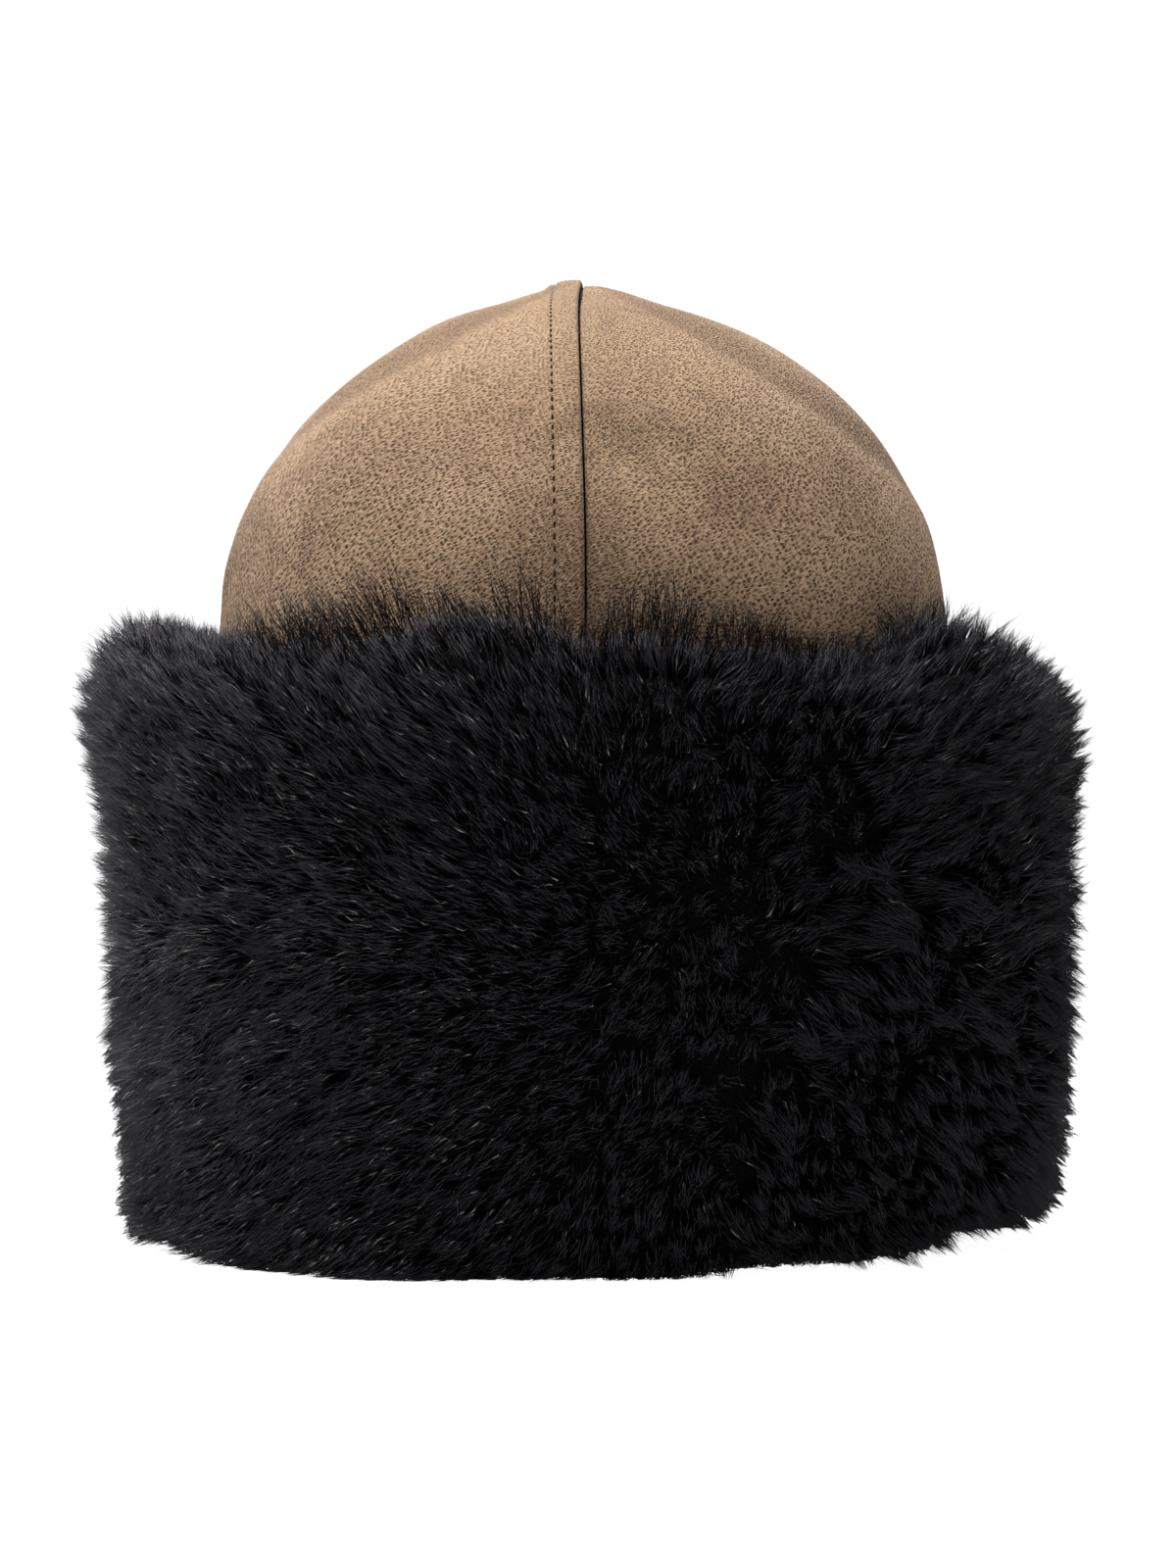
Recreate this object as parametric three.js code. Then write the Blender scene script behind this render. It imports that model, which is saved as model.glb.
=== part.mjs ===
// A shearling hat standing on its turned-up cuff, in millimetres.
// A domed crown of two suede panels meets in one seam that runs from the front, over the top, to the back.
// The wool of the hide lines the crown, and a tall cuff of long wool is turned up round it.
// +Z is up, the front faces -Y, and the origin is the middle of the base, on the surface that the hat stands on.
import * as THREE from "three";
import { mergeVertices } from "three/addons/utils/BufferGeometryUtils.js";

// Driving sizes
const WALL_HALF_WIDTH = 91.3; // suede face of the crown's upright wall, left to right
const WALL_HALF_DEPTH = 107; // the same, front to back
const OVAL_FULLNESS = 1.2; // above 1, the oval and the dome are fuller from front to back
const HIDE = 1.6; // thickness of the leather
const CLEAR = 0.3; // gap between pieces that touch
const CROWN_FOOT = 12; // height of the panels' lower edge
const LINING_PILE = 10.1; // depth of the sheared wool inside the crown
const CUFF_TOP = 144; // height of the cuff hide's cut edge
const CUFF_STANDOFF = 2.2; // from the crown's suede to the cuff's hide
const SEAM_HALF_GAP = 0.25; // from the middle of the seam's ditch to each panel
const LAP_WIDTH = 7.3; // raised strip beside the seam, where the seam's turnings lie under the left panel
const LAP_RAISE = 1.4;
const LAP_SLOPE = 0.6; // width of the raised strip's sloping sides
const LOCK_COLUMNS = 45; // locks of wool in one row round the cuff
const LOCK_JITTER = 1.3; // how far a lock's foot may stray from its row

// The dome from its peak down to the upright wall, as half widths at each height.
const CROWN_PROFILE = [
  { halfWidth: 0, height: 238.4 },
  { halfWidth: 8, height: 237.6 },
  { halfWidth: 14.5, height: 236.2 },
  { halfWidth: 23, height: 233.5 },
  { halfWidth: 31.5, height: 230.3 },
  { halfWidth: 42.5, height: 225.3 },
  { halfWidth: 54.5, height: 218 },
  { halfWidth: 64, height: 210.6 },
  { halfWidth: 71, height: 203.4 },
  { halfWidth: 76.5, height: 196 },
  { halfWidth: 81.2, height: 188.6 },
  { halfWidth: 85.2, height: 181 },
  { halfWidth: 88, height: 173 },
  { halfWidth: 90, height: 163 },
  { halfWidth: WALL_HALF_WIDTH, height: 146 },
];

// Distances from the seam at which a panel is sliced, and how far the left panel is raised there.
const PANEL_SLICES = [
  { x: SEAM_HALF_GAP, raise: LAP_RAISE - 0.4 },
  { x: SEAM_HALF_GAP + LAP_SLOPE, raise: LAP_RAISE },
  { x: LAP_WIDTH, raise: LAP_RAISE },
  { x: LAP_WIDTH + LAP_SLOPE, raise: 0 },
  { x: 20, raise: 0 },
  { x: 36, raise: 0 },
  { x: 51, raise: 0 },
  { x: 64, raise: 0 },
  { x: 75, raise: 0 },
  { x: 83, raise: 0 },
  { x: 88, raise: 0 },
  { x: 90.6, raise: 0 },
  { x: WALL_HALF_WIDTH, raise: 0 },
];
// Steps down each side of a slice on the dome, and heights of the upright wall's sections.
const DOME_STEPS = 9;
const WALL_HEIGHTS = [102, 57, CROWN_FOOT];

// The cuff's wool, from its inner top edge over the outside and under the fold. out is measured from the
// crown's suede, lock is the length of the locks between this row and the next, and rise is how far their
// tips lean up, or down where it is negative.
const WOOL_ROWS = [
  { out: 2.6, height: 146.6, lock: 8.5, rise: 3 },
  { out: 9.2, height: 149.6, lock: 8.5, rise: 2.5 },
  { out: 16.6, height: 148, lock: 8, rise: 2.5 },
  { out: 22.4, height: 142.4, lock: 7.5, rise: 2 },
  { out: 25.4, height: 132.6, lock: 7.5, rise: 1 },
  { out: 25.6, height: 121, lock: 7.5, rise: 0 },
  { out: 24.6, height: 109.2, lock: 7.5, rise: -1 },
  { out: 23.6, height: 97.4, lock: 7.5, rise: -2 },
  { out: 23, height: 85.6, lock: 7.5, rise: -3 },
  { out: 22.6, height: 73.8, lock: 7.5, rise: -3.5 },
  { out: 22.2, height: 62, lock: 7.5, rise: -3.5 },
  { out: 21.8, height: 50.2, lock: 7.5, rise: -3.5 },
  { out: 21.2, height: 38.4, lock: 7.5, rise: -3.5 },
  { out: 20.4, height: 26.8, lock: 7, rise: -3 },
  { out: 18.6, height: 15.4, lock: 6, rise: -2.5 },
  { out: 14.6, height: 6, lock: 3, rise: 0 },
  { out: 7.5, height: 0, lock: 0, rise: 0 },
  { out: -4, height: 0, lock: 0, rise: 0 },
  { out: -10, height: 3, lock: 0, rise: 0 },
];

const LINING_FACE = HIDE + CLEAR + LINING_PILE; // how far inside the suede the lining's face lies

// Sizes that the pieces share
const profileCurve = new THREE.SplineCurve(
  CROWN_PROFILE.map((row) => new THREE.Vector2(row.halfWidth, row.height)),
);

// A repeatable value from -1 to 1 for a pair of whole numbers.
function scatter(a, b) {
  const wave = Math.sin(a * 127.1 + b * 311.7) * 43758.5453;
  return 2 * (wave - Math.floor(wave)) - 1;
}

// Where along the profile, from 0 at the peak to 1 at the wall, the dome is this wide.
function profilePlace(halfWidth) {
  let low = 0;
  let high = 1;
  for (let step = 0; step < 40; step++) {
    const middle = (low + high) / 2;
    if (profileCurve.getPoint(middle).x < halfWidth) low = middle;
    else high = middle;
  }
  return (low + high) / 2;
}

// Front-to-back distance from the middle on the oval that is share of the wall's size, at this x.
function ovalDepth(share, x) {
  const left = Math.max(0, share ** 2 - (x / WALL_HALF_WIDTH) ** 2);
  return WALL_HALF_DEPTH * left ** (1 / (2 * OVAL_FULLNESS));
}

// Level part of the direction that faces out of the oval through x, y.
function ovalNormal(x, y) {
  const power = 2 * OVAL_FULLNESS;
  const across = (2 * x) / WALL_HALF_WIDTH ** 2;
  const along = (power * (Math.abs(y) / WALL_HALF_DEPTH) ** (power - 1)) / WALL_HALF_DEPTH;
  return new THREE.Vector3(across, Math.sign(y) * along, 0);
}

// A point of the crown's suede face and the direction that faces out of it there.
function domeSample(x, place, side) {
  const { x: halfWidth, y: height } = profileCurve.getPoint(place);
  const share = halfWidth / WALL_HALF_WIDTH;
  const y = side * ovalDepth(share, x);
  const step = 1e-3;
  const before = profileCurve.getPoint(Math.max(0, place - step));
  const after = profileCurve.getPoint(Math.min(1, place + step));
  const slope = (after.x - before.x) / WALL_HALF_WIDTH / Math.max(1e-6, before.y - after.y);
  const normal = ovalNormal(x, y);
  if (share > 0) normal.divideScalar(2 * share);
  normal.z = slope;
  return { point: new THREE.Vector3(x, y, height), normal: normal.normalize() };
}

// One slice of the crown, at a set distance from the seam, from the foot at the front to the foot at the back.
function crownSlice(x) {
  const start = profilePlace(Math.abs(x));
  const half = (side) => {
    const samples = [];
    for (let k = 0; k <= DOME_STEPS; k++) {
      const place = start + (1 - start) * (k / DOME_STEPS) ** 2;
      samples.push(domeSample(x, place, side));
    }
    for (const height of WALL_HEIGHTS) {
      const point = new THREE.Vector3(x, side * ovalDepth(1, x), height);
      samples.push({ point, normal: ovalNormal(x, point.y).normalize() });
    }
    return samples;
  };
  return [...half(-1).reverse(), ...half(1).slice(1)];
}

// The slice moved along its own directions. At the seam it keeps its plane, so the two panels never cross.
function offsetSlice(slice, distance, keepPlane) {
  return slice.map(({ point, normal }) => {
    const way = normal.clone();
    if (keepPlane) way.setX(0).normalize();
    return point.clone().addScaledVector(way, distance);
  });
}

// A geometry from corner triples, with equal corners merged and collapsed triangles dropped.
function closedGeometry(triangles) {
  const flat = triangles.flatMap((corner) => [corner.x, corner.y, corner.z]);
  const loose = new THREE.BufferGeometry();
  loose.setAttribute("position", new THREE.Float32BufferAttribute(flat, 3));
  const merged = mergeVertices(loose, 1e-3);
  const kept = [];
  const index = merged.index.array;
  for (let i = 0; i < index.length; i += 3) {
    const [a, b, c] = [index[i], index[i + 1], index[i + 2]];
    if (a !== b && b !== c && c !== a) kept.push(a, b, c);
  }
  merged.setIndex(kept);
  merged.computeVertexNormals();
  return merged;
}

// The two triangles of a four-cornered patch, given anticlockwise as seen from outside.
function patch(a, b, c, d) {
  return [a, b, c, a, c, d];
}

// The skin between neighbouring rows of points. Turned or not, its patches are cut along the same diagonal,
// so two skins a set distance apart stay that far apart.
function skin(rows, turned) {
  const triangles = [];
  for (let i = 0; i + 1 < rows.length; i++) {
    for (let j = 0; j + 1 < rows[i].length; j++) {
      const [a, b, c, d] = [rows[i][j], rows[i + 1][j], rows[i + 1][j + 1], rows[i][j + 1]];
      triangles.push(...(turned ? [a, c, b, a, d, c] : patch(a, b, c, d)));
    }
  }
  return triangles;
}

// A wall of leather or wool between an outer and an inner set of slices that run from left to right.
// openStart and openEnd say whether the first and last slices end in a cut edge or close on themselves.
function sliceShell(outer, inner, openStart, openEnd) {
  const last = outer.length - 1;
  const foot = outer[0].length - 1;
  const triangles = [...skin(outer, false), ...skin(inner, true)];
  triangles.push(...skin([inner.map((row) => row[0]), outer.map((row) => row[0])], true));
  triangles.push(...skin([inner.map((row) => row[foot]), outer.map((row) => row[foot])], false));
  if (openStart) triangles.push(...skin([inner[0], outer[0]], false));
  if (openEnd) triangles.push(...skin([inner[last], outer[last]], true));
  return closedGeometry(triangles);
}

// Half of the crown's suede. The left panel has the raised strip beside the seam.
function panelGeometry(side) {
  const outer = [];
  const inner = [];
  for (const { x, raise } of PANEL_SLICES) {
    const slice = crownSlice(side * x);
    const atSeam = x === SEAM_HALF_GAP;
    outer.push(offsetSlice(slice, side < 0 ? raise : 0, atSeam));
    inner.push(offsetSlice(slice, -HIDE, atSeam));
  }
  if (side > 0) return sliceShell(outer, inner, true, false);
  return sliceShell(outer.reverse(), inner.reverse(), false, true);
}

// The sheared wool on the inside of the crown, one piece that closes over the seam.
function liningGeometry() {
  const columns = PANEL_SLICES.map(({ x }) => x);
  const xs = [...columns.map((x) => -x).reverse(), ...columns];
  const slices = xs.map((x) => ({
    slice: crownSlice(x),
    atSeam: Math.abs(x) === SEAM_HALF_GAP,
  }));
  const outer = slices.map(({ slice, atSeam }) => offsetSlice(slice, -HIDE - CLEAR, atSeam));
  const inner = slices.map(({ slice, atSeam }) => offsetSlice(slice, -LINING_FACE, atSeam));
  return sliceShell(outer, inner, false, false);
}

// A point beside the crown's upright wall: turn goes once round from the front, out is measured from the suede.
function besideWall(turn, out, height) {
  const angle = turn * 2 * Math.PI;
  const depth = Math.sign(Math.cos(angle)) * Math.abs(Math.cos(angle)) ** (1 / OVAL_FULLNESS);
  const x = WALL_HALF_WIDTH * Math.sin(angle);
  const y = -WALL_HALF_DEPTH * depth;
  const way = ovalNormal(x, y).normalize();
  return new THREE.Vector3(x + way.x * out, y + way.y * out, height);
}

// One closed section of the cuff's hide and of the cuff's wool, as rows of out and height.
function hideSection() {
  const face = CUFF_STANDOFF;
  const back = CUFF_STANDOFF + HIDE;
  const hemTop = CROWN_FOOT - CLEAR;
  const hemFoot = hemTop - HIDE;
  return [
    { out: face, height: CUFF_TOP },
    { out: back, height: CUFF_TOP },
    { out: back, height: hemFoot },
    { out: -HIDE, height: hemFoot },
    { out: -HIDE, height: hemTop },
    { out: face, height: hemTop },
  ];
}

function woolSection() {
  const back = CUFF_STANDOFF + HIDE + CLEAR;
  const shelf = CROWN_FOOT - CLEAR;
  const underHem = shelf - HIDE - CLEAR;
  return [
    ...WOOL_ROWS,
    { out: -LINING_FACE, height: shelf, lock: 0 },
    { out: -HIDE - CLEAR, height: shelf, lock: 0 },
    { out: -HIDE - CLEAR, height: underHem, lock: 0 },
    { out: back, height: underHem, lock: 0 },
    { out: back, height: CUFF_TOP + CLEAR, lock: 0 },
    { out: CUFF_STANDOFF + 0.2, height: CUFF_TOP + CLEAR, lock: 0 },
  ];
}

// A lock of wool: six faces from its foot, between two rows of points, to a leaning tip.
function lockFaces(foot, row, length, rise, seed) {
  const middle = new THREE.Vector3();
  for (const corner of foot) middle.addScaledVector(corner, 1 / foot.length);
  const along = new THREE.Vector3().subVectors(foot[2], foot[0]);
  const up = new THREE.Vector3().subVectors(foot[0], foot[5]);
  const way = new THREE.Vector3().crossVectors(along, up).normalize();
  const reach = length * (1 + 0.16 * scatter(row, seed));
  const tip = middle.clone().addScaledVector(way, reach);
  tip.z += rise + 1.2 * scatter(seed, row + 5);
  tip.addScaledVector(along.normalize(), 2.2 * scatter(seed + 9, row));
  tip.z = Math.max(tip.z, 0.4);
  return foot.flatMap((corner, k) => [foot[(k + 1) % foot.length], corner, tip]);
}

// A ring whose section is the closed list of rows. Between rows with a lock length it carries locks.
function ringGeometry(section, columns, jitter) {
  const rows = section.map(({ out, height, lock }, r) => {
    const stray = lock > 0 && r > 0 ? jitter : 0;
    return Array.from({ length: columns }, (_, c) => {
      const turn = (c + (0.5 * stray * scatter(c, r)) / LOCK_JITTER) / columns;
      const lift = stray * 0.7 * scatter(r, c);
      return besideWall(turn, out + lift, height + stray * scatter(c + 31, r));
    });
  });
  const triangles = [];
  section.forEach(({ lock, rise }, r) => {
    const upper = rows[r];
    const lower = rows[(r + 1) % rows.length];
    const at = (list, c) => list[(c + columns) % columns];
    const step = lock > 0 ? 2 : 1;
    const shift = lock > 0 ? r % 2 : 0;
    for (let c = shift; c < columns + shift; c += step) {
      if (lock > 0) {
        const top = [at(upper, c), at(upper, c + 1), at(upper, c + 2)];
        const foot = [at(lower, c + 2), at(lower, c + 1), at(lower, c)];
        triangles.push(...lockFaces([...top, ...foot], r, lock, rise, c));
      } else {
        triangles.push(...patch(at(upper, c), at(lower, c), at(lower, c + 1), at(upper, c + 1)));
      }
    }
  });
  return closedGeometry(triangles);
}

const suede = new THREE.MeshStandardMaterial({ color: 0xa48a70, roughness: 0.95, metalness: 0 });
const wool = new THREE.MeshStandardMaterial({ color: 0x151416, roughness: 0.7, metalness: 0 });

function piece(name, geometry, material) {
  const mesh = new THREE.Mesh(geometry, material);
  mesh.name = name;
  return mesh;
}

const hat = new THREE.Group();
hat.name = "shearling_hat";
hat.add(
  piece("crown_panel_left", panelGeometry(-1), suede),
  piece("crown_panel_right", panelGeometry(1), suede),
  piece("crown_lining_wool", liningGeometry(), wool),
  piece("cuff_hide", ringGeometry(hideSection(), 2 * LOCK_COLUMNS, 0), suede),
  piece("cuff_wool", ringGeometry(woolSection(), 2 * LOCK_COLUMNS, LOCK_JITTER), wool),
);

export default hat;
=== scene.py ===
"""A shearling hat that stands on its turned-up cuff: suede crown, wool lining and a cuff of long black wool."""
import functools
import itertools
import math

import bpy
import numpy as np
from bpy.props import FloatProperty, FloatVectorProperty, IntProperty, PointerProperty
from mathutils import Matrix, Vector


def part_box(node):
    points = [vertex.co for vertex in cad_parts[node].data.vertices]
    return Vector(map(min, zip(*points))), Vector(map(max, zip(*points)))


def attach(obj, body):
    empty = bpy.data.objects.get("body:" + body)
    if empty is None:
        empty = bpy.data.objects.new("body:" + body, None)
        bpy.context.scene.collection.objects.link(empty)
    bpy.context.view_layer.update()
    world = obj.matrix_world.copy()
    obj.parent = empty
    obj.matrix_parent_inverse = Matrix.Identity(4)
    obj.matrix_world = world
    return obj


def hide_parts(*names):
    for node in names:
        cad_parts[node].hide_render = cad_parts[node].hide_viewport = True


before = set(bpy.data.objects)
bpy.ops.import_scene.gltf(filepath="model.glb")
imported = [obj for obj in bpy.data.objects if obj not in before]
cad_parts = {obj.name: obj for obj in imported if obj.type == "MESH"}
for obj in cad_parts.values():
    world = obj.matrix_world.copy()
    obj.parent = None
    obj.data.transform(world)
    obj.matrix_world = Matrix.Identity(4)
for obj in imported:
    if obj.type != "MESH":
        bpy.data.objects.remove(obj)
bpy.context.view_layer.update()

bl_info = {
    "name": "Shearling hat",
    "version": (1, 0, 0),
    "blender": (4, 5, 0),
    "location": "View3D > Sidebar > Hat",
    "description": "Builds a suede hat with a tall cuff of long wool, piece by piece",
    "category": "Add Mesh",
}

MM = 0.001  # shapes are worked out in millimetres and made in metres
PANEL_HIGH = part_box("crown_panel_right")[1]  # the right and back ends of the suede's upright wall

# The dome from its peak down to the upright wall: half width and height.
CROWN_PROFILE = np.array((
    (0.0, 238.4), (8.0, 237.6), (14.5, 236.2), (23.0, 233.5), (31.5, 230.3), (42.5, 225.3), (54.5, 218.0),
    (64.0, 210.6), (71.0, 203.4), (76.5, 196.0), (81.2, 188.6), (85.2, 181.0), (88.0, 173.0), (90.0, 163.0),
    (91.3, 146.0),
))
OVAL_FULLNESS = 1.2  # 1 is an ellipse; more is fuller at the corners
WALL_ROWS = (142.0, 134.0, 110.0, 70.0, 12.0)  # heights of the upright wall's rows, below the dome
DOME_STEPS = 50  # rows from the peak's line down to the wall
LINING_GAP = 0.9  # between the suede's inner face and the lining
SEAM_HALF_GAP = 0.25  # from the seam's middle to a panel's edge
SEAM_ENDS = 0.93  # how far the stitches and the seam's wool run, as a share of the way to the foot

# Darker spots on the suede: middle in metres, reach, and how strong.
SUEDE_DARK_SPOTS = (
    ((-0.003, -0.104, 0.168), 0.026, 0.75),
    ((0.044, -0.092, 0.186), 0.020, 0.45),
    ((0.066, -0.072, 0.188), 0.022, 0.45),
    ((-0.038, -0.090, 0.196), 0.018, 0.40),
    ((-0.060, -0.080, 0.188), 0.034, 0.55),
    ((-0.088, -0.030, 0.180), 0.030, 0.45),
)

# Two soft folds beside the peak: the level way across each, and where it begins. The suede's finish also
# paints a dark band along each on the front: painted shadow.
FOLDS = (((-0.503, 0.0, 0.866), 205.8), ((0.555, 0.0, 0.832), 198.2))

# Unevenness in layers: strength, size of the lumps, seed.
LEATHER_LUMPS = ((0.8, 38.0, 3), (0.35, 15.0, 4))
LINING_LUMPS = ((0.9, 9.0, 31), (0.6, 4.5, 32))
WOOL_LUMPS = ((1.9, 17.0, 11), (1.2, 7.5, 12))
SIDE_SWIRLS = ((0.65, 30.0, 21), (0.55, 12.0, 22), (0.45, 6.0, 25))
RISE_SWIRLS = ((0.45, 27.0, 23), (0.45, 11.0, 24), (0.40, 5.5, 26))
TUFT_SHADES = ((0.7, 20.0, 83), (0.9, 9.0, 81), (0.6, 4.0, 82))
WISP_GUSTS = ((1.3, 10.0, 71), (0.7, 4.5, 72))
WISP_CURLS = ((1.0, 8.0, 73), (0.6, 3.5, 74))

# How a strand stands: its root's depth in the wool, the shares of its length up to the knee and on to the tip, how
# far the lower part leans and how far the upper part still stands out.
ROOT_DEPTH = 1.6
KNEE_SHARE, TIP_SHARE = 0.6, 0.45
LOW_LEAN, HIGH_STAND = 0.45, 0.42

# Shades of strands: the most that a plain one has, and the range of the few painted pale: painted glints.
PLAIN_MOST, PAINTED_GLINT_LEAST, PAINTED_GLINT_MOST = 1.3, 1.6, 2.0
# The share of its shade that a strand has at its root and at its tip, and a painted glint's further share at the
# tip. The dark root is painted shade deep in the pile.
ROOT_PAINTED_SHADE, TIP_SHADE, PAINTED_GLINT_TIP_SHADE = 0.2, 0.7, 0.3
COAT_GLOSS, FINE_GLOSS = 0.47, 0.15

# Seeds of the random draws.
SEAM_WOOL_SEED, RIM_SEED, COAT_SEED, TUFT_SEED = 41, 77, 500, 61

# The cuff's underwool in section, anticlockwise from the middle of its outer face: out from the suede, height.
UNDERWOOL_SECTION = (
    (21.6, 80.0), (21.8, 100.0), (22.2, 116.0), (21.8, 128.5), (19.4, 136.6), (15.0, 140.8), (9.5, 141.8),
    (4.6, 140.8), (2.6, 139.4), (4.2, 136.0), (4.2, 110.0), (4.2, 75.0), (4.2, 40.0), (4.2, 12.5), (1.5, 9.8),
    (-3.0, 10.4), (-8.0, 11.6), (-11.6, 10.6), (-11.4, 6.0), (-8.6, 2.0), (-4.0, 0.1), (2.0, 0.0), (7.5, 0.1),
    (13.0, 4.8), (16.8, 13.0), (19.0, 26.0), (20.0, 40.0), (21.0, 60.0),
)

# How the long wool lies, from the cuff's inner top edge, over the outside, to under the fold: out from the suede,
# height, rise of the strands, how far they stand away, and their length.
COAT_ROWS = (
    (2.8, 140.0, 1.3, -0.10, 9.0), (6.0, 141.8, 1.2, 0.00, 11.0), (11.0, 142.8, 1.1, 0.15, 12.5),
    (15.5, 141.6, 0.9, 0.35, 13.5), (19.4, 137.6, 0.75, 0.50, 14.0), (21.6, 129.0, 0.65, 0.50, 14.0),
    (22.0, 116.0, 0.50, 0.50, 14.0), (21.6, 100.0, 0.25, 0.50, 14.0), (21.4, 84.0, 0.05, 0.50, 14.0),
    (21.0, 68.0, -0.25, 0.50, 14.0), (20.5, 52.0, -0.45, 0.50, 14.0), (19.8, 38.0, -0.60, 0.50, 14.0),
    (18.8, 25.0, -0.70, 0.55, 13.5), (16.4, 13.0, -0.55, 0.80, 13.0), (12.6, 5.0, -0.25, 1.00, 12.5),
    (7.5, 0.9, 0.02, 1.00, 6.0), (0.0, 0.7, 0.02, 0.30, 4.0), (-8.0, 2.4, 0.05, -0.40, 5.0),
)

# Across the front from left to right: how far the wool's top edge stands over the plain ring.
RIM_PLACES = (-1.0, -0.93, -0.85, -0.73, -0.58, -0.46, -0.36, -0.27, -0.18, -0.07, 0.02, 0.10, 0.20, 0.30, 0.42,
              0.50, 0.62, 0.80, 0.95, 1.0)
RIM_SHIFTS = (2.0, 0.5, -2.5, -4.0, -4.5, -5.0, -2.0, 2.0, 2.5, -0.5, -4.0, -3.5, -6.5, -7.0, -7.0, -7.5, -8.5, 2.5,
              -4.0, -10.0)

# How far the front hem of the wool is lifted, at places across from the left side to the right side.
HEM_PLACES = (-1.0, -0.86, -0.75, -0.64, -0.55, -0.42, -0.26, -0.18, 0.0, 0.15, 0.27, 0.41, 0.56, 0.63, 0.69,
              0.77, 0.84, 1.0)
HEM_LIFTS = (3.5, 1.0, -1.0, 0.0, -1.2, -3.8, -3.2, -0.3, -0.6, -1.2, 0.5, 4.4, 5.4, 5.6, 4.4, 7.0, 10.0, 11.0)

# The studio's lights: place in metres, and side of the square that shines.
LIGHTS = {
    "overhead": ((0.0, -0.10, 1.50), 0.90),
    "back": ((0.0, 0.95, 1.20), 0.50),
    "edge": ((-1.20, 0.90, 0.70), 0.35),
    "side": ((-0.80, -0.20, 1.35), 0.30),
    "front": ((-0.30, -2.60, 0.50), 1.60),
}
LIGHTS_FACE = (0.0, 0.0, 0.13)
FLOOR_RADIUS = 1.1
CAMERA_PLACE = (0.0014, -1.5, 0.114)
CAMERA_LENS = 137.7
WHITE = (1.0, 1.0, 1.0, 1.0)


def length_setting(name, description, default, precision=4):
    """A length in metres."""
    return FloatProperty(name=name, description=description, default=default, unit="LENGTH", precision=precision)


def colour_setting(name, description, default):
    """A colour as red, green and blue."""
    return FloatVectorProperty(name=name, description=description, default=default, subtype="COLOR")


def power_setting(name, description, default):
    """How strongly a light shines."""
    return FloatProperty(name=name, description=description, default=default, unit="POWER")


def share_setting(name, description, default):
    """A share of the whole."""
    return FloatProperty(name=name, description=description, default=default, subtype="FACTOR")


class HatSizes(bpy.types.PropertyGroup):
    """Sizes of the crown and its seam."""

    wall_half_width: length_setting(
        "Wall half width", "Suede face of the upright wall, left to right, from the middle", PANEL_HIGH.x)
    wall_half_depth: length_setting("Wall half depth", "The same, front to back", PANEL_HIGH.y)
    hide: length_setting("Hide", "Thickness of the suede", 0.0016)
    lining_pile: length_setting("Lining pile", "Depth of the wool inside the crown", 0.0101)
    lap_width: length_setting("Raised strip", "From the seam to the stitches beside it", 0.0069)
    lap_raise: length_setting("Strip height", "How far the strip beside the seam stands up", 0.0014)
    stitch_pitch: length_setting("Stitch pitch", "From one stitch to the next", 0.00295, 5)


class WoolSettings(bpy.types.PropertyGroup):
    """Amount and fineness of the cuff's wool."""

    coat_strands: IntProperty(
        name="Coat strands", description="Strands in each of the coat's pieces", default=32000, min=1000)
    rim_strands: IntProperty(
        name="Rim strands", description="Fine strands that stand up from the cuff's top edge", default=7000, min=100)
    strand_width: length_setting("Strand width", "Width of a strand at its middle", 0.00033, 5)
    tuft_size: length_setting("Tuft size", "Distance between the tufts that strands gather in", 0.0054)
    tuft_pull: share_setting("Tuft pull", "How far the tips of strands gather", 0.70)


class HatColours(bpy.types.PropertyGroup):
    """Colours of suede, thread and wool."""

    suede: colour_setting("Suede", "Main colour of the suede", (0.555, 0.368, 0.228))
    suede_light: colour_setting(
        "Suede, brushed light", "Where the nap lies towards the light", (0.72, 0.50, 0.330))
    # Also the colour of the painted shadow along the folds.
    suede_dark_and_shade: colour_setting(
        "Suede, brushed dark and painted shade", "Where the nap lies away from the light", (0.28, 0.178, 0.108))
    pit: colour_setting("Pits", "The small dark pits in the suede", (0.088, 0.046, 0.020))
    thread: colour_setting("Thread", "Topstitching thread", (0.46, 0.32, 0.21))
    # The strands take this colour towards their roots, as painted shade deep in the pile; the underwool uses it too.
    wool: colour_setting("Wool", "Deep wool", (0.0015, 0.0014, 0.0017))
    wool_tip: colour_setting("Wool tips", "The paler half of the strands", (0.0092, 0.0088, 0.0124))
    # Painted highlight: the pale colour of the few glint strands, beside their real gloss.
    painted_glint: colour_setting("Painted glints", "The few strands that catch the light", (0.55, 0.53, 0.50))


class StageSettings(bpy.types.PropertyGroup):
    """Floor and lights."""

    overhead_power: power_setting("Overhead light", "Large soft light over the hat", 18.0)
    back_power: power_setting("Back light", "Soft light from over the back", 10.0)
    edge_power: power_setting("Edge light", "Light from the back left, along the wool's edge", 8.5)
    side_power: power_setting("Side light", "Soft light from the upper left", 8.2)
    front_power: power_setting("Front light", "Weak light from behind the camera", 8.0)
    room_light: share_setting("Room light", "Light from all round", 0.04)


# ---- shape of the crown

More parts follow.
